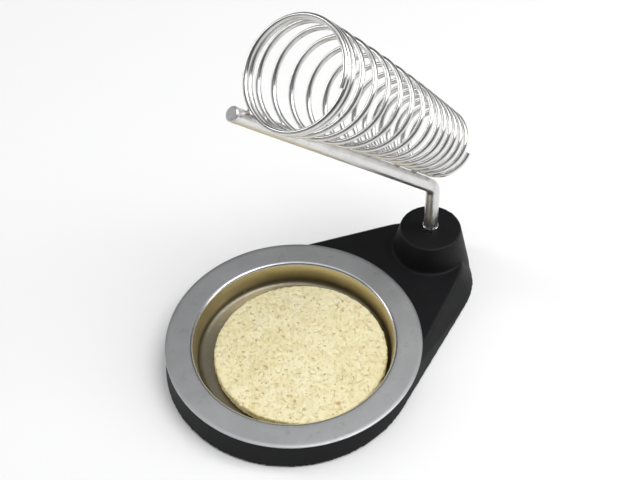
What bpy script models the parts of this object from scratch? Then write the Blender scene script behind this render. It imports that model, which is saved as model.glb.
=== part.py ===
"""Soldering iron station: a cast base with a sponge tray and a coiled wire holder on a swivelling rod.

The origin is on the ground under the middle of the base. +Y points to the boss that carries the rod,
+Z points up. Lengths are written in millimetres and turned into metres by MM.
"""
import math

import bmesh
import bpy
from mathutils import Matrix, Vector

MM = 0.001
GAP = 0.3 * MM                 # clearance between neighbouring pieces
CUT_OVER = 2.0 * MM            # how far a cutter runs past the face that it cuts

# Base casting: the hull of a wide and a narrow tapered disc, with a conical boss at the narrow end.
BASE_LENGTH = 128.0 * MM
FOOT_STAND = 0.5 * MM          # how far the rubber feet hold the casting off the ground
BASE_H = 9.9 * MM
WIDE_R = 44.4 * MM
WIDE_DRAFT = 1.5 * MM
NARROW_R = 24.8 * MM
NARROW_DRAFT = 4.8 * MM
WIDE_Y = WIDE_R - BASE_LENGTH / 2
NARROW_Y = WIDE_Y + 56.7 * MM
BASE_TOP = FOOT_STAND + BASE_H

# Boss and everything on its axis, which is the swivel axis of the holder.
PIVOT_Y = WIDE_Y + 67.9 * MM
BOSS_H = 20.5 * MM
BOSS_TOP_R = 11.2 * MM
BOSS_FOOT_R = BASE_LENGTH / 2 - PIVOT_Y
BOSS_TOP = FOOT_STAND + BOSS_H
POCKET_R = 7.2 * MM            # counterbore under the boss for the washers and the nut
POCKET_TOP = FOOT_STAND + 7.9 * MM

# Sponge tray: a pressed dish that hangs by its flange.
TRAY_Y = WIDE_Y + 1.7 * MM
SHEET = 0.5 * MM
FLANGE_R = 45.0 * MM
FLANGE_TOP = BASE_TOP + GAP + SHEET
OPENING_R = 35.3 * MM
FLOOR_R = 34.2 * MM
FLOOR_TOP = FOOT_STAND + 1.8 * MM
WALL_BEND = 1.2 * MM
FLOOR_BEND = 2.0 * MM
WALL_LEAN = 5                  # degrees that the wall leans in towards the floor
ARC_POINTS = 5

# Sponge
SPONGE_R = 30.7 * MM
SPONGE_THICK = 4.0 * MM
SPONGE_SHIFT = (2.7 * MM, 0.7 * MM)
SPONGE_EDGE = 0.8 * MM

# Support rod: an upright leg, one bend and a long sloping run.
ROD_R = 2.5 * MM
ROD_FOOT = FOOT_STAND + 0.9 * MM
CORNER_Z = FOOT_STAND + 41.7 * MM
BEND_R = 6.0 * MM
SLOPE = math.radians(43.3)
YAW = math.radians(8.5)        # the run is turned this far from -Y towards -X
ROD_RUN = 105.6 * MM
BEND_POINTS = 9
ROD_FACETS = 8                 # bevel resolutions of the rod and of the wire
WIRE_FACETS = 2

# Coil holder: left-handed conical coil of round wire lying along the top of the run.
WIRE_R = 0.9 * MM
MOUTH_R = 17.6 * MM
TAIL_R = 11.3 * MM
MOUTH_ALONG = 99.9 * MM        # distances from the corner along the run
TAIL_ALONG = 3.1 * MM
LEAN_MOUTH = math.radians(-16.2)
LEAN_TAIL = math.radians(23.6)
TURNS = 16.0
START_ANGLE = math.radians(290.7)
POINTS_PER_TURN = 24
PITCH_CLOSED = 2.0             # relative spacing of the turns at the mouth, in the middle, at the tail
PITCH_OPEN = 9.6
PITCH_TAIL = 5.0
OPENS = (1.0, 3.9)             # turns over which the spacing opens up
CLOSES = (6.5, 11.1)           # turns over which it draws in again

# Bush, washers and nut on the leg
BUSH_WALL = 0.4 * MM
BUSH_PROUD = 1.7 * MM
SLIT_WIDTH = 0.7 * MM          # slit of the rolled bush and of the spring washer
SLIT_ANGLE = math.radians(-40)
WASHER_R = 5.0 * MM
WASHER_THICK = 1.0 * MM
SPRING_R = 4.6 * MM
SPRING_THICK = 1.2 * MM
NUT_FLATS = 8.0 * MM
NUT_H = 4.0 * MM

# Rubber feet: x and y of each
FOOT_R = 3.0 * MM
FOOT_RECESS = 1.0 * MM
FEET = [
    (-24.0 * MM, TRAY_Y - 32.5 * MM),
    (24.0 * MM, TRAY_Y - 32.5 * MM),
    (-16.0 * MM, NARROW_Y - 6.0 * MM),
    (16.0 * MM, NARROW_Y - 6.0 * MM),
]

FINE = 72                      # segments round the large circles
MEDIUM = 48
SMALL = 32
SHARP_ANGLE = math.radians(35)  # edges sharper than this stay crisp
FLAT_ANGLE = math.radians(0.05)  # faces flatter than this to each other become one


def clear_scene():
    for old in list(bpy.data.objects):
        bpy.data.objects.remove(old, do_unlink=True)


def new_collection(name):
    collection = bpy.data.collections.new(name)
    bpy.context.scene.collection.children.link(collection)
    return collection


def material(name, colour, roughness, metallic):
    mat = bpy.data.materials.new(name)
    mat.use_nodes = True
    shader = mat.node_tree.nodes["Principled BSDF"]
    shader.inputs["Base Color"].default_value = (*colour, 1.0)
    shader.inputs["Roughness"].default_value = roughness
    shader.inputs["Metallic"].default_value = metallic
    return mat


def add_object(name, data, collection, mat=None, location=(0, 0, 0)):
    obj = bpy.data.objects.new(name, data)
    obj.location = location
    collection.objects.link(obj)
    if mat:
        data.materials.append(mat)
    return obj


def smooth(mesh):
    mesh.shade_smooth()
    mesh.set_sharp_from_angle(angle=SHARP_ANGLE)


def mesh_from(bm, name):
    bmesh.ops.recalc_face_normals(bm, faces=bm.faces)
    mesh = bpy.data.meshes.new(name)
    bm.to_mesh(mesh)
    bm.free()
    smooth(mesh)
    return mesh


def add_cone(bm, radius_low, radius_high, z_low, z_high, segments, x=0.0, y=0.0):
    """A cone or cylinder between two heights, round a vertical axis."""
    place = Matrix.Translation((x, y, (z_low + z_high) / 2))
    return bmesh.ops.create_cone(
        bm, cap_ends=True, segments=segments, radius1=radius_low, radius2=radius_high,
        depth=z_high - z_low, matrix=place)


def cylinder_mesh(name, radius, z_low, z_high, segments, x=0.0, y=0.0):
    bm = bmesh.new()
    add_cone(bm, radius, radius, z_low, z_high, segments, x, y)
    return mesh_from(bm, name)


def cutter(name, mesh, target, operation="DIFFERENCE"):
    """Adds a hidden tool body and the Boolean on the target that uses it."""
    tool = add_object(name, mesh, CUTTERS)
    tool.hide_render = True
    tool.display_type = "WIRE"
    boolean = target.modifiers.new(name, "BOOLEAN")
    boolean.operation = operation
    boolean.solver = "EXACT"
    boolean.object = tool


def turned(name, profile, collection, mat, location, steps, closed):
    """Turns a profile of (radius, height) points about the vertical axis through the location."""
    points = [(radius, 0.0, height) for radius, height in profile]
    edges = [(i, i + 1) for i in range(len(points) - 1)]
    if closed:
        edges.append((len(points) - 1, 0))
    mesh = bpy.data.meshes.new(name)
    mesh.from_pydata(points, edges, [])
    obj = add_object(name, mesh, collection, mat, location)
    screw = obj.modifiers.new("Turn", "SCREW")
    screw.steps = steps
    screw.render_steps = steps
    screw.use_merge_vertices = True
    screw.merge_threshold = 0.00001
    screw.use_smooth_shade = True
    return obj


def arc(cx, cz, radius, start, end):
    """Points of an arc in the (radius, height) plane, angles in degrees from outwards."""
    step = (end - start) / (ARC_POINTS - 1)
    angles = [math.radians(start + step * i) for i in range(ARC_POINTS)]
    return [(cx + radius * math.cos(a), cz + radius * math.sin(a)) for a in angles]


# ---------------------------------------------------------------- base

def base_body_mesh():
    """The hull of the wide and the narrow tapered disc."""
    bm = bmesh.new()
    add_cone(bm, WIDE_R, WIDE_R - WIDE_DRAFT, FOOT_STAND, BASE_TOP, FINE, y=WIDE_Y)
    add_cone(bm, NARROW_R, NARROW_R - NARROW_DRAFT, FOOT_STAND, BASE_TOP, MEDIUM, y=NARROW_Y)
    bmesh.ops.delete(bm, geom=list(bm.faces), context="FACES_ONLY")
    bmesh.ops.delete(bm, geom=list(bm.edges), context="EDGES_FACES")
    bmesh.ops.convex_hull(bm, input=list(bm.verts))
    loose = [v for v in bm.verts if not v.link_faces]
    bmesh.ops.delete(bm, geom=loose, context="VERTS")
    bmesh.ops.dissolve_limit(bm, angle_limit=FLAT_ANGLE, verts=list(bm.verts), edges=list(bm.edges))
    return mesh_from(bm, "base_casting")


def build_base():
    paint = material("black_enamel", (0.016, 0.017, 0.019), 0.5, 0.0)
    base = add_object("base_casting", base_body_mesh(), PARTS, paint)
    bm = bmesh.new()
    add_cone(bm, BOSS_FOOT_R, BOSS_TOP_R, FOOT_STAND, BOSS_TOP, MEDIUM, y=PIVOT_Y)
    cutter("boss_body", mesh_from(bm, "boss_body"), base, "UNION")
    low = FOOT_STAND - CUT_OVER
    hole_r = OPENING_R + SHEET + GAP
    cutter("tray_hole", cylinder_mesh("tray_hole", hole_r, low, BASE_TOP + CUT_OVER, FINE, y=TRAY_Y), base)
    bore_r = bush_outer() + GAP
    cutter("bush_bore", cylinder_mesh("bush_bore", bore_r, low, BOSS_TOP + CUT_OVER, SMALL, y=PIVOT_Y), base)
    pocket = cylinder_mesh("nut_pocket", POCKET_R, low, POCKET_TOP, MEDIUM, y=PIVOT_Y)
    cutter("nut_pocket", pocket, base)
    for number, (x, y) in enumerate(FEET, 1):
        name = f"foot_recess_{number}"
        top = FOOT_STAND + FOOT_RECESS
        cutter(name, cylinder_mesh(name, FOOT_R + GAP, low, top, SMALL, x, y), base)


def build_feet():
    rubber = material("black_rubber", (0.02, 0.02, 0.02), 0.8, 0.0)
    top = FOOT_STAND + FOOT_RECESS - GAP
    for number, (x, y) in enumerate(FEET, 1):
        name = f"rubber_foot_{number}"
        mesh = cylinder_mesh(name, FOOT_R, 0.0, top, SMALL)
        add_object(name, mesh, PARTS, rubber, (x, y, 0.0))


# ---------------------------------------------------------------- tray and sponge

def build_tray():
    """The top skin runs from the edge over the flange and down the wall to the floor."""
    rim = arc(OPENING_R + WALL_BEND, FLANGE_TOP - WALL_BEND, WALL_BEND, 90, 180 - WALL_LEAN)
    foot = arc(FLOOR_R - FLOOR_BEND, FLOOR_TOP + FLOOR_BEND, FLOOR_BEND, -WALL_LEAN, -90)
    profile = [(FLANGE_R, FLANGE_TOP)] + rim + foot + [(0.0, FLOOR_TOP)]
    steel = material("pressed_steel", (0.55, 0.55, 0.55), 0.3, 1.0)
    tray = turned("sponge_tray", profile, PARTS, steel, (0, TRAY_Y, 0), FINE, closed=False)
    shell = tray.modifiers.new("Sheet", "SOLIDIFY")
    shell.thickness = SHEET
    shell.offset = 1.0
    shell.use_even_offset = True


def build_sponge():
    bottom = FLOOR_TOP + GAP
    yellow = material("cellulose", (0.85, 0.72, 0.42), 0.9, 0.0)
    mesh = cylinder_mesh("cleaning_sponge", SPONGE_R, bottom, bottom + SPONGE_THICK, FINE)
    place = (SPONGE_SHIFT[0], TRAY_Y + SPONGE_SHIFT[1], 0.0)
    sponge = add_object("cleaning_sponge", mesh, PARTS, yellow, place)
    soft = sponge.modifiers.new("Soft edge", "BEVEL")
    soft.width = SPONGE_EDGE
    soft.segments = 2
    soft.limit_method = "ANGLE"


# ---------------------------------------------------------------- support rod and coil

def run_frame():
    """The corner of the rod, the direction of its run, and its up and side directions."""
    corner = Vector((0.0, PIVOT_Y, CORNER_Z))
    level = math.cos(SLOPE)
    along = Vector((-math.sin(YAW) * level, -math.cos(YAW) * level, math.sin(SLOPE)))
    side = Vector((-math.cos(YAW), math.sin(YAW), 0.0))
    up = along.cross(side)
    if up.z < 0:
        up.negate()
    return corner, along, up, side


def wire(name, points, radius, resolution, mat, location):
    """A closed round wire through the points, which are given in world space."""
    curve = bpy.data.curves.new(name, "CURVE")
    curve.dimensions = "3D"
    curve.bevel_depth = radius
    curve.bevel_resolution = resolution
    curve.use_fill_caps = True
    spline = curve.splines.new("POLY")
    spline.points.add(len(points) - 1)
    origin = Vector(location)
    for slot, point in zip(spline.points, points):
        slot.co = (*(point - origin), 1.0)
    spline.use_smooth = True
    return add_object(name, curve, PARTS, mat, location)


def rod_path():
    """Up the leg, round the bend, which is tangent to both straights, and out along the run."""
    corner, along, _, _ = run_frame()
    down = Vector((0.0, 0.0, -1.0))
    turn = math.pi / 2 - SLOPE
    setback = BEND_R * math.tan(turn / 2)
    centre = corner + (down + along).normalized() * BEND_R / math.cos(turn / 2)
    start = corner + down * setback
    spoke = start - centre
    axis = down.cross(along).normalized()
    steps = [Matrix.Rotation(-turn * i / (BEND_POINTS - 1), 3, axis) for i in range(BEND_POINTS)]
    bend = [centre + step @ spoke for step in steps]
    foot = Vector((0.0, PIVOT_Y, ROD_FOOT))
    return [foot] + bend + [corner + along * ROD_RUN]


def build_rod():
    steel = material("bright_steel_rod", (0.72, 0.72, 0.71), 0.22, 1.0)
    wire("support_rod", rod_path(), ROD_R, ROD_FACETS, steel, (0.0, PIVOT_Y, 0.0))


def lerp(a, b, t):
    return a + (b - a) * t


def ease(start, end, value):
    t = min(max((value - start) / (end - start), 0.0), 1.0)
    return t * t * (3.0 - 2.0 * t)


def turn_fractions(count):
    """How far each point lies from the mouth to the tail, from 0 to 1, by adding up the pitch."""
    step = TURNS / (count - 1)
    total = 0.0
    heights = [0.0]
    for i in range(count - 1):
        turn = (i + 0.5) * step
        pitch = lerp(PITCH_CLOSED, PITCH_OPEN, ease(*OPENS, turn))
        pitch = lerp(pitch, PITCH_TAIL, ease(*CLOSES, turn))
        total += pitch * step
        heights.append(total)
    return [height / total for height in heights]


def coil_centre(t):
    """Centre of the turn at fraction t. Every turn touches the rod, and they lean from side to side."""
    corner, along, up, side = run_frame()
    lean = lerp(LEAN_MOUTH, LEAN_TAIL, t)
    lift = ROD_R + WIRE_R + GAP + lerp(MOUTH_R, TAIL_R, t)
    outward = up * math.cos(lean) + side * math.sin(lean)
    return corner + along * lerp(MOUTH_ALONG, TAIL_ALONG, t) + outward * lift


def coil_path():
    _, _, up, _ = run_frame()
    axis = (coil_centre(0) - coil_centre(1)).normalized()
    high = (up - axis * up.dot(axis)).normalized()
    across = axis.cross(high)
    count = round(TURNS * POINTS_PER_TURN) + 1
    points = []
    for i, t in enumerate(turn_fractions(count)):
        angle = START_ANGLE + math.tau * TURNS * i / (count - 1)
        radius = lerp(MOUTH_R, TAIL_R, t)
        spoke = high * math.cos(angle) + across * math.sin(angle)
        points.append(coil_centre(t) + spoke * radius)
    return points


def build_coil():
    steel = material("bright_spring_wire", (0.75, 0.75, 0.75), 0.18, 1.0)
    wire("coil_holder", coil_path(), WIRE_R, WIRE_FACETS, steel, (0.0, PIVOT_Y, 0.0))


# ---------------------------------------------------------------- bush and fasteners

def bush_outer():
    return ROD_R + GAP + BUSH_WALL


def ring_profile(inner, outer, low, high):
    return [(outer, high), (outer, low), (inner, low), (inner, high)]


def split_ring(name, inner, outer, low, high, mat):
    """A ring round the pivot with a slot cut through one side."""
    ring = turned(name, ring_profile(inner, outer, low, high), PARTS, mat, (0, PIVOT_Y, 0), SMALL, closed=True)
    bm = bmesh.new()
    bmesh.ops.create_cube(bm, size=1.0)
    length = outer * 2
    bmesh.ops.scale(bm, verts=bm.verts, vec=(length, SLIT_WIDTH, high - low + 2 * CUT_OVER))
    bmesh.ops.translate(bm, verts=bm.verts, vec=(length / 2, 0, (low + high) / 2))
    place = Matrix.Translation((0, PIVOT_Y, 0)) @ Matrix.Rotation(SLIT_ANGLE, 4, "Z")
    bmesh.ops.transform(bm, matrix=place, verts=bm.verts)
    cutter(f"{name}_slit", mesh_from(bm, f"{name}_slit"), ring)


def build_fasteners():
    bright = material("bush_steel", (0.8, 0.8, 0.8), 0.2, 1.0)
    zinc = material("zinc_plate", (0.6, 0.62, 0.64), 0.35, 1.0)
    inner = ROD_R + GAP
    bush_low = POCKET_TOP
    split_ring("boss_bush", inner, bush_outer(), bush_low, BOSS_TOP + BUSH_PROUD, bright)
    washer_top = POCKET_TOP - GAP
    washer_low = washer_top - WASHER_THICK
    turned("thrust_washer", ring_profile(inner, WASHER_R, washer_low, washer_top),
           PARTS, zinc, (0, PIVOT_Y, 0), MEDIUM, closed=True)
    spring_top = washer_low - GAP
    spring_low = spring_top - SPRING_THICK
    split_ring("spring_washer", inner, SPRING_R, spring_low, spring_top, zinc)
    nut_top = spring_low - GAP
    nut_r = NUT_FLATS / 2 / math.cos(math.radians(30))
    nut_mesh = cylinder_mesh("lock_nut", nut_r, nut_top - NUT_H, nut_top, 6)
    nut = add_object("lock_nut", nut_mesh, PARTS, zinc, (0, PIVOT_Y, 0))
    hole = cylinder_mesh("nut_thread", inner, nut_top - 2 * NUT_H, nut_top + NUT_H, SMALL, y=PIVOT_Y)
    cutter("nut_thread", hole, nut)


clear_scene()
PARTS = new_collection("soldering_iron_station")
CUTTERS = new_collection("cutters")
build_base()
build_feet()
build_tray()
build_sponge()
build_rod()
build_coil()
build_fasteners()
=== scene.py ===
# %% [markdown]
# # A soldering iron station
# A cast iron base carries a pressed dish with a damp sponge, and a bent rod that swivels in a boss.
# A coil of polished wire lies on the rod and holds the hot iron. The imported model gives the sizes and
# the moving bodies. This script gives every piece a finer surface and a finish of its own.

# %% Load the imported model
import math
import random

import bmesh
import bpy
import numpy as np
from mathutils import Matrix, Vector, kdtree, noise


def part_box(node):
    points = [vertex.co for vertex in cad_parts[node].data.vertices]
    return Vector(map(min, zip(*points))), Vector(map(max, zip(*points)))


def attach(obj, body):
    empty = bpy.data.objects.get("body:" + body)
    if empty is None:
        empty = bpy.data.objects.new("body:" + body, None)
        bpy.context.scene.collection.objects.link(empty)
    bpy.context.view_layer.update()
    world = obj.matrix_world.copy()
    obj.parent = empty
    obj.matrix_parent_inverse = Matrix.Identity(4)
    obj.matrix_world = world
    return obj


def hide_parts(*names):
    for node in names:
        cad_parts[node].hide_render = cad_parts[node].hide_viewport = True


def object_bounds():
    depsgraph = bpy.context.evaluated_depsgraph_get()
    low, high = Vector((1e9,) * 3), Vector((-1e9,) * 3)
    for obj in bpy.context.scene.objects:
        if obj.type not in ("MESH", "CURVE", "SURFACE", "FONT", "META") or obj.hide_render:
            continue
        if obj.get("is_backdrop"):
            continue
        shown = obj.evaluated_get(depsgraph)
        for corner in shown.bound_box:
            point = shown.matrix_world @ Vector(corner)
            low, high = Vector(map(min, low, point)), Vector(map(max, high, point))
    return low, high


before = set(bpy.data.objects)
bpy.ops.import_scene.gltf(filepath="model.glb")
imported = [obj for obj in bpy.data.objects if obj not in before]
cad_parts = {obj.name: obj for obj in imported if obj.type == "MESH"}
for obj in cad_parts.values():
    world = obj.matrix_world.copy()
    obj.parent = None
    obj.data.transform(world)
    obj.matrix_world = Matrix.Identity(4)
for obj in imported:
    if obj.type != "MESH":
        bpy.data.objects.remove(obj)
CAD_LOW, CAD_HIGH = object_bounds()
print("the packed model measures", [round(1000 * s, 1) for s in CAD_HIGH - CAD_LOW], "mm")

# %% [markdown]
# ## Where everything is
# A reader of a drawing starts with the datums. Here they are the swivel axis, the middle of the dish and
# the middle of the sponge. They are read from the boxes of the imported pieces, so that this script stays
# right when the model changes by a little.

# %% Datums and heights
MM = 0.001
GAP = 0.3 * MM


def middle(node):
    low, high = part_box(node)
    return (low + high) / 2


def heights(node):
    low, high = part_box(node)
    return low.z, high.z


def outer_radius(node):
    low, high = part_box(node)
    return (high.x - low.x) / 2


PIVOT_Y = middle("thrust_washer").y
TRAY_Y = middle("sponge_tray").y
BOSS_TOP = heights("base_casting")[1]
FLANGE_TOP = heights("sponge_tray")[1]
SHEET = 0.5 * MM
print("swivel axis at y", round(PIVOT_Y / MM, 1), "mm, dish at y", round(TRAY_Y / MM, 1), "mm")

# %% [markdown]
# ## The camera
# A camera is easiest to reason about as a tripod: the point it looks at, the direction it stands in, how
# high it looks down from, and how far away it is. The lens is a short telephoto, as for a small product,
# so the dish stays a clean ellipse. The picture is turned by a degree and a half, as by a hand.

# %% Camera
AIM = Vector((-0.0169, 0.0095, 0.0288))
AZIMUTH = math.radians(50.04)
ELEVATION = math.radians(47.27)
DISTANCE = 0.4565
ROLL = math.radians(-1.58)
LENS = 72.16


def camera_axes():
    level = math.cos(ELEVATION)
    back = Vector((math.sin(AZIMUTH) * level, -math.cos(AZIMUTH) * level, math.sin(ELEVATION)))
    right = Vector((0.0, 0.0, 1.0)).cross(back).normalized()
    up = back.cross(right)
    tilted_right = right * math.cos(ROLL) + up * math.sin(ROLL)
    tilted_up = up * math.cos(ROLL) - right * math.sin(ROLL)
    return tilted_right, tilted_up, back


camera = bpy.data.objects.new("camera", bpy.data.cameras.new("camera"))
bpy.context.scene.collection.objects.link(camera)
camera.data.lens = LENS
right, up, back = camera_axes()
turned = Matrix((right, up, back)).transposed().to_4x4()
camera.matrix_world = Matrix.Translation(AIM + back * DISTANCE) @ turned
bpy.context.scene.camera = camera
print("camera stands at", [round(c, 3) for c in camera.matrix_world.translation])

# %% [markdown]
# ## Shader maths that reads like maths
# A finish is a small calculation that is done at every point of a surface. Wiring it by hand hides the
# formula, so one class wraps a socket and lets Python's operators add the Math nodes. A second class is
# a node tree: one method adds any other node, with its settings first and its sockets after. A finish is
# such a tree that ends in a shader.

# %% Signal, Nodes and Finish
class Signal:
    """A value that changes over a surface. Arithmetic on it adds Math nodes to its tree."""

    def __init__(self, nodes, socket):
        self.nodes = nodes
        self.socket = socket

    def math(self, operation, first, second):
        return self.nodes.node("ShaderNodeMath", {"operation": operation}, {0: first, 1: second})

    def __add__(self, other):
        return self.math("ADD", self, other)

    def __radd__(self, other):
        return self.math("ADD", other, self)

    def __sub__(self, other):
        return self.math("SUBTRACT", self, other)

    def __rsub__(self, other):
        return self.math("SUBTRACT", other, self)

    def __mul__(self, other):
        return self.math("MULTIPLY", self, other)

    def __rmul__(self, other):
        return self.math("MULTIPLY", other, self)


def grey(value, tint=(1.0, 1.0, 1.0)):
    return (value * tint[0], value * tint[1], value * tint[2], 1.0)


class Nodes:
    """A node tree of a material or of a world."""

    def __init__(self, tree):
        self.tree = tree

    def node(self, kind, settings=None, inputs=None, output=0):
        made = self.tree.nodes.new(kind)
        for name, value in (settings or {}).items():
            if name == "stops":
                self.set_stops(made.color_ramp, value)
            else:
                setattr(made, name, value)
        for name, value in (inputs or {}).items():
            self.feed(made.inputs[name], value)
        return Signal(self, made.outputs[output])

    def set_stops(self, ramp, stops):
        """Stops are pairs of a position and a brightness, and the ramp eases from one to the next."""
        ramp.elements.remove(ramp.elements[1])
        for number, (position, brightness) in enumerate(stops):
            stop = ramp.elements.new(position) if number else ramp.elements[0]
            stop.color = grey(brightness)
        ramp.interpolation = "EASE"

    def feed(self, socket, value):
        if isinstance(value, Signal):
            self.tree.links.new(value.socket, socket)
        else:
            socket.default_value = value


class Finish(Nodes):
    """A material, built up from signals."""

    def __init__(self, name, metallic=0.0):
        self.material = bpy.data.materials.new(name)
        self.material.use_nodes = True
        super().__init__(self.material.node_tree)
        self.shader = self.tree.nodes["Principled BSDF"]
        self.shader.inputs["Metallic"].default_value = metallic

    def set(self, **sockets):
        """Feeds the shader: an underscore in a name stands for a space, as in Base_Color."""
        for name, value in sockets.items():
            self.feed(self.shader.inputs[name.replace("_", " ")], value)

    def place(self):
        """The point in the piece's own space, in metres."""
        return self.node("ShaderNodeTexCoord", output="Object")

    def stored(self, name, output="Fac"):
        """A value that the mesh carries at each vertex."""
        return self.node("ShaderNodeAttribute", {"attribute_name": name}, output=output)

    def stretch(self, place, x, y, z):
        return self.node("ShaderNodeVectorMath", {"operation": "MULTIPLY"}, {0: place, 1: (x, y, z)})

    def axis_distance(self, place):
        """How far each point is from the vertical axis of its piece."""
        flat = self.stretch(place, 1, 1, 0)
        return self.node("ShaderNodeVectorMath", {"operation": "LENGTH"}, {0: flat}, output="Value")

    def grain(self, place, size, detail=2.0, roughness=0.5):
        """Soft noise from 0 to 1, whose lumps are about that size."""
        inputs = {"Vector": place, "Scale": 1 / size, "Detail": detail, "Roughness": roughness}
        return self.node("ShaderNodeTexNoise", {}, inputs)

    def step(self, value, low, high):
        """0 below low, 1 above high, and smooth in between. Low may be the larger one."""
        settings = {"interpolation_type": "SMOOTHSTEP"}
        return self.node("ShaderNodeMapRange", settings, {"Value": value, "From Min": low, "From Max": high})

    def mix(self, share, first, second):
        """Colour first where share is 0, colour second where it is 1."""
        return self.node("ShaderNodeMix", {"data_type": "RGBA"}, {0: share, 6: first, 7: second}, output=2)

    def bump(self, height, depth):
        """Tilts the light on the surface as if it rose by depth where height is 1."""
        self.set(Normal=self.node("ShaderNodeBump", {}, {"Distance": depth, "Height": height}))


print("a Signal adds, subtracts and multiplies, and a Finish turns signals into a material")

# %% [markdown]
# ## The studio
# Polished wire shows little of itself and a lot of the room, so the room is designed first. A big soft
# box hangs overhead, a narrow one stands at the side to draw the white lines on the wire, and the air
# between them is a darker grey, which gives the metal its contrast. The floor is a plain pale sheet.

# %% Floor, room and lights
ROOM = ((0.0, 0.6), (0.25, 0.5), (0.5, 0.06), (0.7, 0.12), (0.84, 0.4), (0.93, 1.1), (1.0, 1.2))
FLOOR_SIZE = 3.0


def build_room():
    """A round room: pale near the floor, dark half way up and bright overhead."""
    world = bpy.data.worlds.new("room")
    bpy.context.scene.world = world
    world.use_nodes = True
    room = Nodes(world.node_tree)
    around = room.node("ShaderNodeTexCoord", output="Generated")
    height = room.node("ShaderNodeSeparateXYZ", {}, {0: around}, output="Z")
    brightness = room.node("ShaderNodeValToRGB", {"stops": ROOM}, {0: height})
    room.feed(room.tree.nodes["Background"].inputs["Color"], brightness)


def soft_box(name, location, size, power):
    """A square lamp that faces the middle of the object."""
    lamp = bpy.data.lights.new(name, "AREA")
    lamp.shape = "RECTANGLE"
    lamp.size, lamp.size_y = size
    lamp.energy = power
    obj = bpy.data.objects.new(name, lamp)
    bpy.context.scene.collection.objects.link(obj)
    obj.location = location
    obj.rotation_euler = (Vector(location) - AIM).to_track_quat("Z", "Y").to_euler()


def build_floor():
    finish = Finish("floor_sheet")
    finish.set(Base_Color=grey(0.95), Roughness=0.9, Specular_IOR_Level=0.1)
    bm = bmesh.new()
    bmesh.ops.create_grid(bm, x_segments=1, y_segments=1, size=FLOOR_SIZE)
    mesh = bpy.data.meshes.new("floor")
    bm.to_mesh(mesh)
    bm.free()
    mesh.materials.append(finish.material)
    floor = bpy.data.objects.new("floor", mesh)
    bpy.context.scene.collection.objects.link(floor)
    floor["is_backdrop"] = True


build_room()
build_floor()
soft_box("overhead_box", (0.32, 0.22, 0.9), (0.6, 0.6), 5.4)
soft_box("side_strip", (-0.75, -0.45, 0.55), (0.25, 0.8), 2.0)
soft_box("far_strip", (0.65, 0.7, 0.6), (0.3, 0.7), 2.0)
bpy.context.scene.view_settings.view_transform = "Standard"
print("studio built with", len(bpy.data.lights), "soft boxes")

# %% [markdown]
# ## Mesh tools
# Three small tools are used by every piece: one reads what the modifiers make, one reads and writes all
# points of a mesh as a table of numbers, and one puts a finished piece on its moving body.

# %% Mesh tools
def link(name, mesh, location=(0.0, 0.0, 0.0)):
    obj = bpy.data.objects.new(name, mesh)
    obj.location = location
    bpy.context.scene.collection.objects.link(obj)
    return obj


def settle(obj):
    """Returns the mesh that the object's modifiers make, and removes the object."""
    graph = bpy.context.evaluated_depsgraph_get()
    mesh = bpy.data.meshes.new_from_object(obj.evaluated_get(graph))
    bpy.data.objects.remove(obj)
    return mesh


def read_points(mesh):
    flat = np.empty(len(mesh.vertices) * 3, np.float32)
    mesh.vertices.foreach_get("co", flat)
    return flat.reshape(-1, 3).astype(float)


def write_points(mesh, points):
    mesh.vertices.foreach_set("co", points.astype(np.float32).ravel())
    mesh.update()


def read_normals(mesh):
    flat = np.empty(len(mesh.vertices) * 3, np.float32)
    mesh.vertices.foreach_get("normal", flat)
    return flat.reshape(-1, 3).astype(float)


def store(mesh, name, values):
    attribute = mesh.attributes.new(name, "FLOAT", "POINT")
    attribute.data.foreach_set("value", np.asarray(values, np.float32))


def smoothstep(low, high, value):
    share = np.clip((value - low) / (high - low), 0.0, 1.0)
    return share * share * (3.0 - 2.0 * share)


def add_piece(name, mesh, location, finish, body, slot, *nodes):
    mesh.materials.clear()
    mesh.materials.append(finish.material)
    piece = link(name, mesh, location)
    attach(piece, body)
    if nodes:
        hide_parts(*nodes)
    print(name, "has", len(mesh.polygons), "faces")
    return piece


# %% [markdown]
# ## Black powder coat
# The base is blasted and powder coated: a very dark, slightly bluish film with a fine orange peel. The
# film is thin over sharp edges, so they rub to a duller, lighter grey first. The mesh carries how sharp
# it is at each point, and the finish reads that, instead of painting wear at random.

# %% Powder coat finish
def powder_coat():
    finish = Finish("black_powder_coat")
    place = finish.place()
    peel = finish.grain(place, 0.9 * MM, detail=3.0)
    dust = finish.grain(place, 9 * MM, detail=4.0, roughness=0.6)
    fleck = finish.step(finish.grain(place, 0.35 * MM, detail=1.0), 0.66, 0.8)
    rub = finish.step(finish.stored("edge") + 0.35 * finish.grain(place, 2.5 * MM), 0.45, 0.95)
    film = finish.mix(finish.step(dust, 0.35, 0.75), (0.0022, 0.0023, 0.0030, 1), (0.0042, 0.0045, 0.0058, 1))
    worn = finish.mix(0.7 * rub, film, (0.018, 0.0185, 0.02, 1))
    finish.set(Base_Color=finish.mix(0.25 * fleck, worn, (0.02, 0.02, 0.022, 1)))
    finish.set(Roughness=0.5 + 0.14 * dust - 0.08 * rub, Specular_IOR_Level=0.2)
    finish.bump(peel + 0.3 * fleck, 0.035 * MM)
    return finish


POWDER_COAT = powder_coat()
print("powder coat:", len(POWDER_COAT.tree.nodes), "nodes")

# %% [markdown]
# ## The base casting
# A casting has no sharp edge anywhere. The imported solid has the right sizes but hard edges, so a copy is
# wrapped in a skin of small squares and relaxed, which rounds every edge by about half a millimetre. The
# bore is filled before that and drilled again after it, so its edge stays crisp round the bush.

# %% Base casting
SKIN_CELL = 0.5 * MM
RELAX_ROUNDS = 4
POCKET_TOP = heights("boss_bush")[0]
BUSH_R = 2.85 * MM             # the bush fills its bore
PLUG_R = 4.5 * MM
SHARP_SINK = 0.06 * MM         # a point this far proud of its neighbours is on a sharp edge


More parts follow.
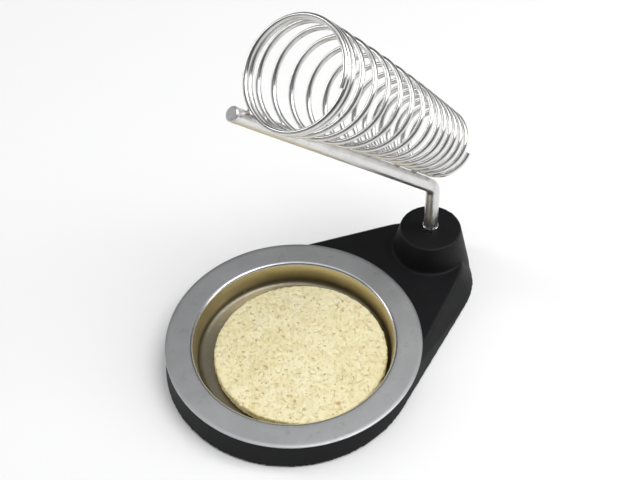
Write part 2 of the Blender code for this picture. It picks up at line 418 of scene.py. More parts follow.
def sharpness(mesh):
    """1 on the outer edges of a mesh and 0 on flat or hollow places."""
    points = read_points(mesh)
    ends = np.empty(len(mesh.edges) * 2, np.int32)
    mesh.edges.foreach_get("vertices", ends)
    ends = ends.reshape(-1, 2)
    total = np.zeros_like(points)
    count = np.zeros(len(points))
    for here, there in ((0, 1), (1, 0)):
        np.add.at(total, ends[:, here], points[ends[:, there]])
        np.add.at(count, ends[:, here], 1)
    sink = ((points - total / count[:, None]) * read_normals(mesh)).sum(1)
    return np.clip(sink / SHARP_SINK, 0.0, 1.0)


def relax(obj, factor, rounds):
    modifier = obj.modifiers.new("Relax", "SMOOTH")
    modifier.factor = factor
    modifier.iterations = rounds


def base_skin():
    """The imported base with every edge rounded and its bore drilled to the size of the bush."""
    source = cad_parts["base_casting"].data.copy()
    bm = bmesh.new()
    bm.from_mesh(source)
    bmesh.ops.remove_doubles(bm, verts=bm.verts, dist=0.001 * MM)
    plug = Matrix.Translation((0, PIVOT_Y, (POCKET_TOP + BOSS_TOP) / 2))
    bmesh.ops.create_cone(bm, cap_ends=True, segments=48, radius1=PLUG_R, radius2=PLUG_R,
                          depth=BOSS_TOP - POCKET_TOP, matrix=plug)
    bm.to_mesh(source)
    bm.free()
    work = link("base_work", source)
    wrap = work.modifiers.new("Wrap", "REMESH")
    wrap.mode = "VOXEL"
    wrap.voxel_size = SKIN_CELL
    relax(work, 0.5, RELAX_ROUNDS)
    mesh = settle(work)
    bm = bmesh.new()
    bmesh.ops.create_cone(bm, cap_ends=True, segments=96, radius1=BUSH_R, radius2=BUSH_R, depth=2 * BOSS_TOP,
                          matrix=Matrix.Translation((0, PIVOT_Y, BOSS_TOP)))
    drill_mesh = bpy.data.meshes.new("drill")
    bm.to_mesh(drill_mesh)
    bm.free()
    work, drill = link("base_work", mesh), link("drill", drill_mesh)
    bore = work.modifiers.new("Bore", "BOOLEAN")
    bore.operation = "DIFFERENCE"
    bore.object = drill
    mesh = settle(work)
    bpy.data.objects.remove(drill)
    store(mesh, "edge", sharpness(mesh))
    mesh.shade_smooth()
    return mesh


add_piece("base_casting_skin", base_skin(), (0, 0, 0), POWDER_COAT, "base", "black_enamel", "base_casting")

# %% [markdown]
# ## Pressed steel
# The dish is pressed from bright cold rolled sheet. Its flange is satin, with a faint mottle and a few
# scuffs, because hands and irons touch it. The bend at the opening and the wall were drawn over polished
# tools, so they are smoother and show a clear reflection. The wall carries a painted warm reflection of the
# sponge, and painted shade darkens the corner under it and the floor. The finish tells these zones apart by
# radius.

# %% Pressed steel finish
OPENING_R = 35.3 * MM


def pressed_steel(opening, flange):
    finish = Finish("satin_pressed_steel", metallic=1.0)
    place = finish.place()
    radius = finish.axis_distance(place)
    drawn = finish.step(radius, opening + 1.6 * MM, opening + 0.6 * MM)
    inside = finish.stored("inside")
    # painted reflection: the inner wall is tinted warm, as if it mirrored the yellow sponge
    painted_sponge_reflection = inside * finish.step(radius, opening + 0.1 * MM, opening - 0.1 * MM)
    # painted shade: the lower wall and the floor of the dish are darkened
    corner = inside * finish.step(radius, opening - 0.7 * MM, opening - 1.3 * MM)
    rim = finish.step(radius, flange - 0.6 * MM, flange)
    cloud = finish.grain(place, 14 * MM, detail=5.0, roughness=0.62)
    speckle = finish.grain(place, 0.5 * MM, detail=3.0, roughness=0.7)
    lines = finish.grain(finish.stretch(place, 1, 14, 1), 4 * MM, detail=4.0, roughness=0.7)
    scuff_field = finish.grain(finish.stretch(place, 3, 0.35, 1), 1.1 * MM, detail=1.0)
    scuff = finish.step(scuff_field, 0.7, 0.78) * finish.step(cloud, 0.5, 0.62)
    stain = finish.step(finish.grain(place, 6 * MM, detail=7.0, roughness=0.78), 0.53, 0.7)
    steel = finish.mix(cloud, (0.43, 0.435, 0.445, 1), (0.56, 0.565, 0.57, 1))
    steel = finish.mix(0.5 * stain, steel, (0.31, 0.30, 0.28, 1))
    steel = finish.mix(0.5 * drawn, steel, (0.66, 0.655, 0.65, 1))
    # painted reflection of the sponge on the inner wall
    steel = finish.mix(painted_sponge_reflection, steel, (0.95, 0.84, 0.55, 1))
    # painted shade in the corner under the wall and on the floor
    steel = finish.mix((0.75 + 0.2 * cloud) * corner, steel, (0.15, 0.14, 0.12, 1))
    steel = finish.mix(0.6 * scuff, steel, (0.75, 0.75, 0.75, 1))
    rough = 0.36 + 0.12 * cloud + 0.05 * speckle + 0.08 * stain - 0.1 * rim
    finish.set(Base_Color=steel, Roughness=rough - 0.22 * drawn + 0.12 * painted_sponge_reflection + 0.04 * corner + 0.08 * scuff)
    finish.bump(0.5 * speckle + 0.5 * lines + 0.8 * scuff, 0.006 * MM)
    return finish


STEEL = pressed_steel(OPENING_R, outer_radius("sponge_tray"))
print("pressed steel:", len(STEEL.tree.nodes), "nodes")

# %% [markdown]
# ## The dish
# A dish is a turned shape: half of its section is drawn once and swung round the axis. Only the top
# skin is drawn. Solidify then gives the sheet its real half millimetre, and a tiny bevel breaks the two
# sheared edges at the rim, because a perfectly sharp edge never catches a highlight.

# %% Dish
FLOOR_R = 34.2 * MM
WALL_BEND = 1.2 * MM
FLOOR_BEND = 2.0 * MM
WALL_LEAN = 5                  # degrees
FLANGE_RINGS = 6
BEND_RINGS = 14
FLOOR_RINGS = 8
DISH_STEPS = 224


def arc(centre, radius, start, end, count):
    """Points on an arc as (radius, height) pairs. Angles are in degrees, from outwards."""
    angles = [math.radians(start + (end - start) * i / (count - 1)) for i in range(count)]
    return [(centre[0] + radius * math.cos(a), centre[1] + radius * math.sin(a)) for a in angles]


def turn(name, section, steps):
    """Swings a section of (radius, height) pairs round the vertical axis."""
    edges = [(i, i + 1) for i in range(len(section) - 1)]
    mesh = bpy.data.meshes.new(name)
    mesh.from_pydata([(r, 0.0, z) for r, z in section], edges, [])
    work = link(f"{name}_work", mesh)
    screw = work.modifiers.new("Turn", "SCREW")
    screw.steps = steps
    screw.render_steps = steps
    screw.use_merge_vertices = True
    screw.merge_threshold = 0.005 * MM
    return work


def inside_share(mesh):
    """1 where the sheet faces inwards or up, and 0 where it faces outwards or down."""
    points = read_points(mesh)
    normals = read_normals(mesh)
    radius = np.maximum(np.hypot(points[:, 0], points[:, 1]), SHEET)
    inwards = -(points[:, :2] * normals[:, :2]).sum(1) / radius
    return smoothstep(-0.1, 0.1, inwards + normals[:, 2])


def dish_mesh():
    flange = outer_radius("sponge_tray")
    floor = heights("sponge_tray")[0] + SHEET
    flat_width = flange - OPENING_R - WALL_BEND
    flat = [(flange - flat_width * i / FLANGE_RINGS, FLANGE_TOP) for i in range(FLANGE_RINGS)]
    lip_centre = (OPENING_R + WALL_BEND, FLANGE_TOP - WALL_BEND)
    lip = arc(lip_centre, WALL_BEND, 90, 180 - WALL_LEAN, BEND_RINGS)
    foot_centre = (FLOOR_R - FLOOR_BEND, floor + FLOOR_BEND)
    foot = arc(foot_centre, FLOOR_BEND, -WALL_LEAN, -90, BEND_RINGS)
    bottom = [((FLOOR_R - FLOOR_BEND) * (1 - i / FLOOR_RINGS), floor) for i in range(1, FLOOR_RINGS + 1)]
    work = turn("dish", flat + lip + foot + bottom, DISH_STEPS)
    sheet = work.modifiers.new("Sheet", "SOLIDIFY")
    sheet.thickness = SHEET
    sheet.offset = 1.0
    sheet.use_even_offset = True
    broken = work.modifiers.new("Broken edge", "BEVEL")
    broken.width = 0.1 * MM
    broken.segments = 2
    broken.limit_method = "ANGLE"
    broken.angle_limit = math.radians(60)
    mesh = settle(work)
    store(mesh, "inside", inside_share(mesh))
    mesh.shade_smooth()
    mesh.set_sharp_from_angle(angle=math.radians(50))
    return mesh


add_piece("sponge_dish", dish_mesh(), (0, TRAY_Y, 0), STEEL, "tray", "pressed_steel", "sponge_tray")

# %% [markdown]
# ## Cellulose
# A compressed cellulose sponge is pale straw with fine fibres, small pores and a few ochre specks where
# the flux has burnt it. The mesh carries the depth of each pore, and the colour is darkened there as painted
# shade inside the hole. Cellulose is very matt, and it lets a little light in, which softens the pores.

# %% Cellulose finish
SCORCH = (25.5 * MM, -5.1 * MM, 2.0 * MM)   # a spot where a hot tip rested


def cellulose():
    finish = Finish("cellulose_sponge")
    place = finish.place()
    pore = finish.stored("pore")
    fibre = finish.grain(finish.stretch(place, 1, 2.5, 1), 0.7 * MM, detail=4.0, roughness=0.7)
    cloud = finish.grain(place, 8 * MM, detail=4.0, roughness=0.6)
    mottle = finish.grain(place, 1.3 * MM, detail=5.0, roughness=0.7)
    fleck = finish.step(mottle, 0.53, 0.62)
    white = finish.step(mottle, 0.47, 0.38)
    speck = finish.step(finish.grain(place, 1.6 * MM, detail=6.0, roughness=0.8), 0.585, 0.63)
    burn_field = finish.grain(place, 6 * MM, detail=4.0, roughness=0.7)
    burn = finish.step(burn_field, 0.68, 0.76)
    straw = finish.mix(finish.step(cloud, 0.3, 0.7), (0.87, 0.77, 0.44, 1), (0.93, 0.85, 0.56, 1))
    straw = finish.mix(0.4 * finish.step(fibre, 0.5, 0.75), straw, (0.94, 0.88, 0.63, 1))
    straw = finish.mix(0.3 * fleck, straw, (0.76, 0.62, 0.28, 1))
    straw = finish.mix(0.4 * white, straw, (0.97, 0.93, 0.74, 1))
    straw = finish.mix(0.7 * speck, straw, (0.66, 0.48, 0.14, 1))
    # painted shade: each pore is darkened by its depth
    straw = finish.mix(0.5 * finish.step(pore, 0.1, 0.9), straw, (0.55, 0.42, 0.15, 1))
    straw = finish.mix(0.8 * burn, straw, (0.46, 0.24, 0.05, 1))
    ends = {0: place, 1: SCORCH}
    reach = finish.node("ShaderNodeVectorMath", {"operation": "DISTANCE"}, ends, output="Value")
    scorch = finish.step(reach + 1.6 * MM * finish.grain(place, 1.2 * MM, detail=4.0), 2.1 * MM, 1.1 * MM)
    straw = finish.mix(0.9 * scorch, straw, (0.62, 0.33, 0.06, 1))
    finish.set(Base_Color=straw, Roughness=0.88 + 0.1 * fibre, Specular_IOR_Level=0.15)
    finish.set(Subsurface_Weight=0.03, Subsurface_Radius=(1.0, 0.7, 0.3), Subsurface_Scale=0.6 * MM)
    finish.bump(fibre - 0.5 * fleck - 0.8 * speck, 0.16 * MM)
    return finish


CELLULOSE = cellulose()
print("cellulose:", len(CELLULOSE.tree.nodes), "nodes")

# %% [markdown]
# ## The sponge
# It is stamped from a dry sheet, so it is flat, with a slightly torn edge. A rounded disc is wrapped in
# a fine skin, its edge is frayed with noise, and fifteen hundred pores are then pressed into it. A
# seeded random generator places the pores, so the sponge is the same one at each run.

# %% Sponge
SPONGE_CELL = 0.3 * MM
SPONGE_INSET = 0.1 * MM
PORES = 1500
PORE_R = (0.14 * MM, 0.42 * MM)
PORE_DEPTH = 0.4 * MM
PORES_ON_TOP = 0.6             # the rest are on the underside
PORE_BIAS = 2.2                # above 1, most pores are small
PORE_SPREAD = 1.3              # a pore's soft rim, as a share of its radius
FACE_INSET = 0.05 * MM
SPONGE_EDGE = 0.7 * MM
FRAYED = 2.2 * MM              # how far in from the rim the edge is torn


def sponge_disc():
    low, high = heights("cleaning_sponge")
    radius = outer_radius("cleaning_sponge") - SPONGE_INSET
    half = (high - low) / 2 - FACE_INSET
    inner = radius - SPONGE_EDGE
    section = [(0.0, half)] + arc((inner, half - SPONGE_EDGE), SPONGE_EDGE, 90, 0, 6)
    section += arc((inner, SPONGE_EDGE - half), SPONGE_EDGE, 0, -90, 6) + [(0.0, -half)]
    work = turn("sponge", section, 96)
    wrap = work.modifiers.new("Wrap", "REMESH")
    wrap.mode = "VOXEL"
    wrap.voxel_size = SPONGE_CELL
    relax(work, 0.5, 2)
    return settle(work), radius, half


def fray(points, radius, half):
    """A torn edge and a slightly uneven face."""
    moved = points.copy()
    for i, (x, y, z) in enumerate(points):
        reach = math.hypot(x, y)
        rim = min(max((reach - radius + FRAYED) / FRAYED, 0.0), 1.0)
        place = Vector((x, y, z)) / MM
        tear = 0.3 * noise.noise(place * 0.7) + 0.24 * noise.noise(place * 1.9) - 0.16
        wave = 0.12 * noise.noise(place * 0.16) + 0.05 * noise.noise(place * 1.1) - 0.1
        spoke = 1 + rim * tear * MM / max(reach, MM)
        moved[i] = (x * spoke, y * spoke, z + wave * MM * (z / half) * (1 + rim))
    return moved


def press_pores(points, normals, radius, half):
    """Presses each pore in along the surface. Returns the points and how deep each lies in a pore."""
    tree = kdtree.KDTree(len(points))
    for i, point in enumerate(points):
        tree.insert(point, i)
    tree.balance()
    rng = random.Random(7)
    depth = np.zeros(len(points))
    for _ in range(PORES):
        reach = radius * math.sqrt(rng.random())
        angle = rng.uniform(0, math.tau)
        side = half if rng.random() < PORES_ON_TOP else -half
        size = PORE_R[0] + (PORE_R[1] - PORE_R[0]) * rng.random() ** PORE_BIAS
        centre = (reach * math.cos(angle), reach * math.sin(angle), side)
        for _, i, distance in tree.find_range(centre, size * PORE_SPREAD):
            share = max(0.0, 1 - (distance / (size * PORE_SPREAD)) ** 2)
            depth[i] = max(depth[i], share * size / PORE_R[1])
    return points - normals * (depth * PORE_DEPTH)[:, None], depth


def sponge_mesh():
    mesh, radius, half = sponge_disc()
    write_points(mesh, fray(read_points(mesh), radius, half))
    points, depth = press_pores(read_points(mesh), read_normals(mesh), radius, half)
    write_points(mesh, points)
    store(mesh, "pore", depth)
    mesh.shade_smooth()
    return mesh


SPONGE = add_piece("sponge_pad", sponge_mesh(), middle("cleaning_sponge"), CELLULOSE,
                   "sponge", "cellulose", "cleaning_sponge")

# %% [markdown]
# ## Drawn wire and rod
# Wire is pulled through a die, which leaves hair lines along it. To draw such lines on a coil, each
# point of the mesh remembers where it was while the wire was still straight. The finish looks that
# place up and stretches its noise along it, so the lines follow every bend.

# %% Drawn steel finish and the sweep
def drawn_steel(name, tone, roughness, dullness, length):
    """Length is where the bar was cut off: the sheared face is rough and dull."""
    finish = Finish(name, metallic=1.0)
    straight = finish.stored("straight", output="Vector")
    reach = finish.node("ShaderNodeSeparateXYZ", {}, {0: straight}, output="Z")
    sheared = finish.step(reach, length - 0.25 * MM, length - 0.05 * MM)
    torn = finish.grain(straight, 0.8 * MM, detail=4.0, roughness=0.65)
    lines = finish.grain(finish.stretch(straight, 1, 1, 0.03), 0.16 * MM, detail=3.0, roughness=0.65)
    handled = finish.grain(straight, 5 * MM, detail=4.0, roughness=0.6)
    pit = finish.step(finish.grain(straight, 0.3 * MM, detail=2.0), 0.7, 0.8)
    smudge = finish.step(handled, 0.45, 0.72)
    steel = finish.mix(smudge, grey(tone, (1.0, 0.995, 0.985)), grey(tone * 0.86, (1.0, 0.985, 0.955)))
    steel = finish.mix(0.35 * pit, steel, grey(tone * 0.45))
    steel = finish.mix(sheared, steel, finish.mix(torn, grey(0.25), grey(0.65)))
    rough = roughness + dullness * smudge + 0.05 * lines + 0.1 * pit
    finish.set(Base_Color=steel, Roughness=rough + 0.3 * sheared)
    finish.bump(lines - 0.5 * pit + 12 * torn * sheared, 0.004 * MM)
    return finish


def path_length(path):
    return sum((after - before).length for before, after in zip(path, path[1:]))


def tangents(path):
    count = len(path)
    ends = [(path[max(i - 1, 0)], path[min(i + 1, count - 1)]) for i in range(count)]
    return [(after - before).normalized() for before, after in ends]


def chamfered(path, radius, chamfer):
    """Adds a point close to each end and gives each point its radius, so that both ends are chamfered."""
    start = path[0] + (path[1] - path[0]).normalized() * chamfer
    end = path[-1] + (path[-2] - path[-1]).normalized() * chamfer
    full = [path[0], start] + path[1:-1] + [end, path[-1]]
    return full, [radius - chamfer] + [radius] * (len(full) - 2) + [radius - chamfer]


def sweep(name, path, radii, sides):
    """A round bar along the path. Its mesh keeps, as straight, where each point was before bending."""
    spoke = tangents(path)[0].orthogonal().normalized()
    before = tangents(path)[0]
    travelled = 0.0
    points = []
    straight = []
    for i, (point, forward) in enumerate(zip(path, tangents(path))):
        spoke = before.rotation_difference(forward) @ spoke
        across = forward.cross(spoke)
        before = forward
        travelled += (point - path[max(i - 1, 0)]).length
        for j in range(sides):
            c, s = math.cos(math.tau * j / sides), math.sin(math.tau * j / sides)
            points.append(point + (spoke * c + across * s) * radii[i])
            straight += [radii[i] * c, radii[i] * s, travelled]
    faces = [tuple(reversed(range(sides))), tuple(range(len(points) - sides, len(points)))]
    for i in range(len(path) - 1):
        for j in range(sides):
            k = (j + 1) % sides
            faces.append((i * sides + j, i * sides + k, (i + 1) * sides + k, (i + 1) * sides + j))
    mesh = bpy.data.meshes.new(name)
    mesh.from_pydata(points, [], faces)
    mesh.attributes.new("straight", "FLOAT_VECTOR", "POINT").data.foreach_set("vector", straight)
    mesh.shade_smooth()
    mesh.set_sharp_from_angle(angle=math.radians(30))
    return mesh


print("bars can now be swept along a path of points")

# %% [markdown]
# ## The support rod
# One 5 mm bar stands in the boss, turns through a tight bend and runs up under the coil. Its line is
# two straights and an arc that is tangent to both, and the run is turned a little away from the axis
# of the base. The free end is cut square and chamfered.

# %% Support rod
ROD_R = 2.5 * MM
ROD_CHAMFER = 0.45 * MM
CORNER_Z = 42.2 * MM
BEND_R = 6.0 * MM
SLOPE = math.radians(43.3)
YAW = math.radians(8.5)
ROD_RUN = 105.6 * MM
BEND_POINTS = 33


def run_frame():
    """The corner of the rod, the direction of its run, and its up and side directions."""
    level = math.cos(SLOPE)
    along = Vector((-math.sin(YAW) * level, -math.cos(YAW) * level, math.sin(SLOPE)))
    side = Vector((-math.cos(YAW), math.sin(YAW), 0.0))
    lifted = along.cross(side)
    if lifted.z < 0:
        lifted.negate()
    return Vector((0.0, PIVOT_Y, CORNER_Z)), along, lifted, side


def rod_path():
    corner, along, _, _ = run_frame()
    down = Vector((0.0, 0.0, -1.0))
    bend = math.pi / 2 - SLOPE
    start = corner + down * BEND_R * math.tan(bend / 2)
    centre = corner + (down + along).normalized() * BEND_R / math.cos(bend / 2)
    axis = down.cross(along).normalized()
    steps = [Matrix.Rotation(-bend * i / (BEND_POINTS - 1), 3, axis) for i in range(BEND_POINTS)]
    foot = Vector((0.0, PIVOT_Y, heights("support_rod")[0]))
    return [foot] + [centre + step @ (start - centre) for step in steps] + [corner + along * ROD_RUN]


ROD_STEEL = drawn_steel("bright_rod_steel", 0.72, 0.27, 0.08, path_length(rod_path()))
add_piece("rod", sweep("rod", *chamfered(rod_path(), ROD_R, ROD_CHAMFER), 40), (0, 0, 0),
          ROD_STEEL, "holder", "bright_rod", "support_rod")
print("the rod was cut", round(path_length(rod_path()) / MM), "mm long")

# %% [markdown]
# ## The coil holder
# The holder is one left-handed conical coil. Its turns are closed at the mouth, wide open in the middle
# and closer again at the small end, so the pitch is a smooth function of the turn, and adding the pitch
# up gives the place of each point. Every turn sits on the rod, which sets the height of its centre.

# %% Coil holder
WIRE_R = 0.9 * MM
WIRE_CHAMFER = 0.15 * MM
MOUTH_R = 17.5 * MM
TAIL_R = 11.3 * MM
MOUTH_ALONG = 99.9 * MM
TAIL_ALONG = 3.1 * MM
LEAN_MOUTH = math.radians(-16.2)
LEAN_TAIL = math.radians(23.6)
TURNS = 16.0
START_ANGLE = math.radians(290.7)
PITCH = (2.0, 9.6, 5.0)       # relative spacing at the mouth, in the middle and at the tail
OPENS = (1.0, 3.9)
CLOSES = (6.5, 11.1)
POINTS_PER_TURN = 60


def lerp(first, second, share):
    return first + (second - first) * share


def turn_fractions(count):
    """How far each point lies from the mouth to the tail, by adding up the pitch."""
    turns = (np.arange(count - 1) + 0.5) * TURNS / (count - 1)
    pitch = lerp(PITCH[0], PITCH[1], smoothstep(*OPENS, turns))
    pitch = lerp(pitch, PITCH[2], smoothstep(*CLOSES, turns))
    total = np.concatenate([[0.0], np.cumsum(pitch)])
    return total / total[-1]


def coil_centre(share):
    corner, along, lifted, side = run_frame()
    lean = lerp(LEAN_MOUTH, LEAN_TAIL, share)
    lift = ROD_R + WIRE_R + GAP + lerp(MOUTH_R, TAIL_R, share)
    outward = lifted * math.cos(lean) + side * math.sin(lean)
    return corner + along * lerp(MOUTH_ALONG, TAIL_ALONG, share) + outward * lift


def coil_path():
    _, _, lifted, _ = run_frame()
    axis = (coil_centre(0) - coil_centre(1)).normalized()
    high = (lifted - axis * lifted.dot(axis)).normalized()
    across = axis.cross(high)
    count = round(TURNS * POINTS_PER_TURN) + 1
    path = []
    for i, share in enumerate(turn_fractions(count)):
        angle = START_ANGLE + math.tau * TURNS * i / (count - 1)
        spoke = high * math.cos(angle) + across * math.sin(angle)
        path.append(coil_centre(share) + spoke * lerp(MOUTH_R, TAIL_R, share))
    return path


COIL_PATH = coil_path()
WIRE_STEEL = drawn_steel("polished_spring_wire", 0.72, 0.1, 0.08, path_length(COIL_PATH))
add_piece("coil", sweep("coil", *chamfered(COIL_PATH, WIRE_R, WIRE_CHAMFER), 16), (0, 0, 0),
          WIRE_STEEL, "holder", "spring_wire", "coil_holder")

# %% [markdown]
# ## Weld nuggets
# The coil is held to the rod by a few small welds. A nugget is a lump of metal that froze between the
# two, so it is a drop shape stretched along the wire, uneven, and duller than the bright steel.

# %% Weld nuggets
WELDED_TURNS = (0, 1, 8, 11, 13)
NUGGET = Vector((0.75 * MM, 1.15 * MM, 0.62 * MM))


def weld_steel():
    finish = Finish("weld_metal", metallic=1.0)
    place = finish.place()
    ripple = finish.grain(place, 0.5 * MM, detail=4.0, roughness=0.6)
    tint = finish.grain(place, 1.2 * MM)
    finish.set(Base_Color=finish.mix(finish.step(tint, 0.35, 0.7), (0.5, 0.5, 0.5, 1), (0.36, 0.31, 0.26, 1)))
    finish.set(Roughness=0.28 + 0.2 * ripple)
    finish.bump(ripple, 0.05 * MM)
    return finish


def contact_points():
    """Where each turn comes nearest to the middle line of the rod, as indices into the coil path."""
    corner, along, _, _ = run_frame()
    offs = [((p - corner) - along * (p - corner).dot(along)).length for p in COIL_PATH]
    return [i for i in range(1, len(offs) - 1) if offs[i] <= offs[i - 1] and offs[i] < offs[i + 1]]


def nugget_mesh(name, i):
    corner, along, _, _ = run_frame()
    point = COIL_PATH[i]
    inward = (corner + along * (point - corner).dot(along) - point).normalized()
    wire = (COIL_PATH[i + 1] - COIL_PATH[i - 1]).normalized()
    across = inward.cross(wire).normalized()
    centre = point + inward * (WIRE_R + GAP / 2)
    bm = bmesh.new()
    bmesh.ops.create_icosphere(bm, subdivisions=4, radius=1.0)
    for vert in bm.verts:
        lump = 1 + 0.16 * noise.noise(vert.co * 1.6 + Vector((i, 0, 0))) + 0.07 * noise.noise(vert.co * 4)
        x, y, z = vert.co * lump
        vert.co = across * x * NUGGET.x + wire * y * NUGGET.y + inward * z * NUGGET.z
    mesh = bpy.data.meshes.new(name)
    bm.to_mesh(mesh)
    bm.free()
    mesh.shade_smooth()
    return mesh, centre


WELD_STEEL = weld_steel()
CONTACTS = contact_points()
for number, turn_index in enumerate(WELDED_TURNS, 1):
    nugget, centre = nugget_mesh(f"weld_{number}", CONTACTS[turn_index])
    add_piece(f"weld_{number}", nugget, centre, WELD_STEEL, "holder", "bright_rod")
print("the coil touches the rod at", len(CONTACTS), "turns")

# %% [markdown]
# ## Small turned parts
# Bush, washers, nut and feet are small, but a bevelled edge is what makes a small metal part look
# real. A section with its corners cut off is swung round the axis, and a split ring is the same
# section swung through less than a full turn.

# %% Rings and their finishes
def bright_plate(name, tone, tint, roughness):
    """A plated part: even, a little cloudy, with turning lines round its axis."""
    finish = Finish(name, metallic=1.0)
    place = finish.place()
    cloud = finish.grain(place, 2.5 * MM, detail=4.0, roughness=0.6)
    radius = finish.axis_distance(place)
    turned = finish.node("ShaderNodeMath", {"operation": "SINE"}, {0: radius * (40 / MM)})
    spots = finish.step(finish.grain(place, 0.5 * MM, detail=2.0), 0.66, 0.78)
    plate = finish.mix(cloud, grey(tone, tint), grey(tone * 0.8, tint))
    finish.set(Base_Color=finish.mix(0.4 * spots, plate, grey(tone * 0.45, (1.0, 0.93, 0.82))))
    finish.set(Roughness=roughness + 0.12 * cloud + 0.12 * spots)
    finish.bump(0.2 * turned + cloud, 0.006 * MM)
    return finish


def ring_section(inner, outer, low, high, cut):
    """A rectangle with its four corners cut off."""
    return [(outer, high - cut), (outer, low + cut), (outer - cut, low), (inner + cut, low),
            (inner, low + cut), (inner, high - cut), (inner + cut, high), (outer - cut, high)]


def ring_mesh(name, section, steps, slit=0.0, facing=0.0, rise=0.0):
    """Swings the section round. A slit leaves the ring open there, and rise lifts one of its ends."""
    count = len(section)
    open_angle = slit / section[0][0]
    rings = steps + 1 if slit else steps
    points = []
    for i in range(rings):
        angle = facing + open_angle / 2 + (math.tau - open_angle) * i / steps
        lift = rise * (i / steps - 0.5)
        points += [(r * math.cos(angle), r * math.sin(angle), z + lift) for r, z in section]
    faces = []
    for i in range(rings - 1 if slit else rings):
        for j in range(count):
            here, there = i * count, (i + 1) % rings * count
            k = (j + 1) % count
            faces.append((here + j, here + k, there + k, there + j))
    if slit:
        faces += [tuple(range(count)), tuple(reversed(range((rings - 1) * count, rings * count)))]
    mesh = bpy.data.meshes.new(name)
    mesh.from_pydata(points, [], faces)
    bm = bmesh.new()
    bm.from_mesh(mesh)
    bmesh.ops.recalc_face_normals(bm, faces=bm.faces)
    bm.to_mesh(mesh)
    bm.free()
    mesh.shade_smooth()
    mesh.set_sharp_from_angle(angle=math.radians(30))
    return mesh


print("the section of a ring has", len(ring_section(1.0, 2.0, 0.0, 1.0, 0.1)), "points")

# %% [markdown]
# ## Bush, washers and nut
# A rolled steel bush lines the boss and stands proud of it. It is rolled from strip, so it has a slit.
# Under the boss, a plain washer, a spring washer and a thin nut hold the rod: they let it swivel, and
# the spring washer keeps the holder where it was put.

# %% Bush, washers and nut
SLIT = 0.5 * MM
SLIT_FACING = math.radians(-40)
BORE_R = ROD_R + GAP
EDGE_CUT = 0.12 * MM
BUSH_PLAY = 0.06 * MM
RING_STEPS = 96
THREADS = 8
THREAD_DEPTH = 0.25 * MM
NUT_CORNER_CUT = 0.7 * MM
NUT_FACE = 0.97                # the turned face of the nut, as a share of its flats
BUSH_STEEL = bright_plate("bush_bright_steel", 0.82, (1.0, 1.0, 0.99), 0.12)
ZINC = bright_plate("zinc_plate", 0.62, (0.97, 1.0, 1.03), 0.3)


def add_ring(name, node, finish, body, slot, inner, outer, **shape):
    low, high = heights(node)
    section = ring_section(inner, outer, low, high, EDGE_CUT)
    add_piece(name, ring_mesh(name, section, RING_STEPS, **shape), (0, PIVOT_Y, 0), finish, body, slot, node)


def nut_mesh(name):
    """A hexagon whose corners are turned away at both ends, with a threaded hole."""
    low, high = heights("lock_nut")
    corner = outer_radius("lock_nut")
    flat = corner * math.cos(math.radians(30))
    bm = bmesh.new()
    place = Matrix.Translation((0, 0, (low + high) / 2))
    bmesh.ops.create_cone(bm, cap_ends=True, segments=6, radius1=corner, radius2=corner,
                          depth=high - low, matrix=place)
    mesh = bpy.data.meshes.new(name)
    bm.to_mesh(mesh)
    bm.free()
    drop = (corner - flat) * math.tan(math.radians(30)) + NUT_CORNER_CUT
    section = [(0.0, high), (flat * NUT_FACE, high), (corner + MM, high - drop),
               (corner + MM, low + drop), (flat * NUT_FACE, low), (0.0, low)]
    lens = link("nut_lens", settle(turn("nut_lens", section, RING_STEPS)))
    pitch = (high - low) / THREADS
    thread = [(BORE_R, low - MM)]
    for i in range(THREADS):
        z = low + pitch * i
        thread += [(BORE_R, z), (BORE_R + THREAD_DEPTH, z + pitch / 2)]
    thread += [(BORE_R, high), (BORE_R, high + MM)]
    section = [(0.0, high + MM)] + thread[::-1] + [(0.0, low - MM)]
    hole = link("nut_hole", settle(turn("nut_hole", section, 64)))
    work = link("nut_work", mesh)
    for tool, operation in ((lens, "INTERSECT"), (hole, "DIFFERENCE")):
        cut = work.modifiers.new(operation, "BOOLEAN")
        cut.operation = operation
        cut.object = tool
    made = settle(work)
    bpy.data.objects.remove(lens)
    bpy.data.objects.remove(hole)
    made.shade_smooth()
    made.set_sharp_from_angle(angle=math.radians(25))
    return made


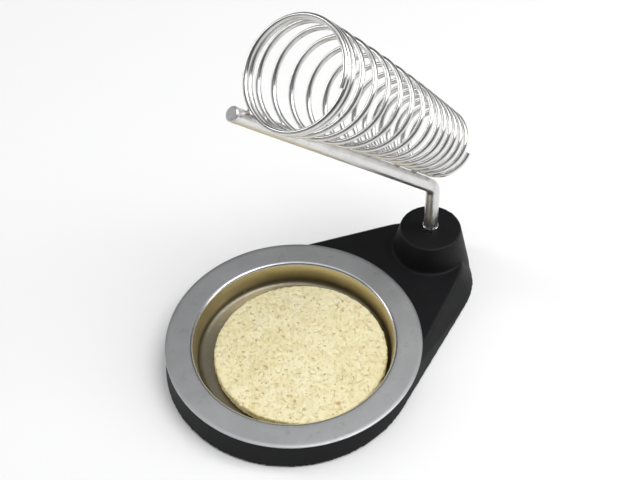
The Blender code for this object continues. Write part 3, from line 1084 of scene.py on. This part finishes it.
add_ring("bush", "boss_bush", BUSH_STEEL, "base", "bush_steel", ROD_R + BUSH_PLAY, BUSH_R,
         slit=SLIT, facing=SLIT_FACING)
add_ring("plain_washer", "thrust_washer", ZINC, "holder", "zinc_plate", BORE_R, outer_radius("thrust_washer"))
add_ring("split_washer", "spring_washer", ZINC, "holder", "zinc_plate", BORE_R, outer_radius("spring_washer"),
         slit=SLIT, facing=SLIT_FACING, rise=0.2 * MM)
add_piece("nut", nut_mesh("nut"), (0, PIVOT_Y, 0), ZINC, "holder", "zinc_plate", "lock_nut")

# %% [markdown]
# ## Rubber feet
# Four moulded buttons keep the base from sliding. Rubber is matt and picks up dust, and the middle of
# each button is dished, so only a ring of it grips the table.

# %% Rubber feet
FOOT_EDGE = 0.35 * MM
GRIP_WIDTH = 1.0 * MM
DUSTY = (0.05, 0.048, 0.045, 1)


def rubber():
    finish = Finish("black_rubber")
    place = finish.place()
    dust = finish.grain(place, 1.5 * MM, detail=4.0, roughness=0.65)
    skin = finish.grain(place, 0.2 * MM, detail=2.0)
    finish.set(Base_Color=finish.mix(finish.step(dust, 0.45, 0.8), (0.012, 0.012, 0.013, 1), DUSTY))
    finish.set(Roughness=0.72 + 0.2 * dust, Specular_IOR_Level=0.35)
    finish.bump(skin, 0.02 * MM)
    return finish


def foot_mesh(node):
    low, high = heights(node)
    radius = outer_radius(node)
    section = [(0.0, high), (radius - 0.1 * MM, high), (radius, high - 0.1 * MM)]
    section += arc((radius - FOOT_EDGE, low + FOOT_EDGE), FOOT_EDGE, 0, -90, 6)
    section += arc((radius - GRIP_WIDTH, low), 0.25 * MM, 0, 180, 7)[1:-1] + [(0.0, low + 0.2 * MM)]
    mesh = settle(turn("foot", section, 64))
    mesh.shade_smooth()
    mesh.set_sharp_from_angle(angle=math.radians(40))
    return mesh


RUBBER = rubber()
for number in range(1, 5):
    node = f"rubber_foot_{number}"
    spot = middle(node)
    add_piece(f"foot_{number}", foot_mesh(node), (spot.x, spot.y, 0), RUBBER, "base", "black_rubber", node)

# %% [markdown]
# ## Check the size
# The last step compares the finished pieces with the imported model: a finer surface must not make the
# object larger. How far they stand proud of it is printed.

# %% Sizes
low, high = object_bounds()
proud = [round(max(below, above) / MM, 2) for below, above in zip(CAD_LOW - low, high - CAD_HIGH)]
print("proud of the packed model by", proud, "mm")
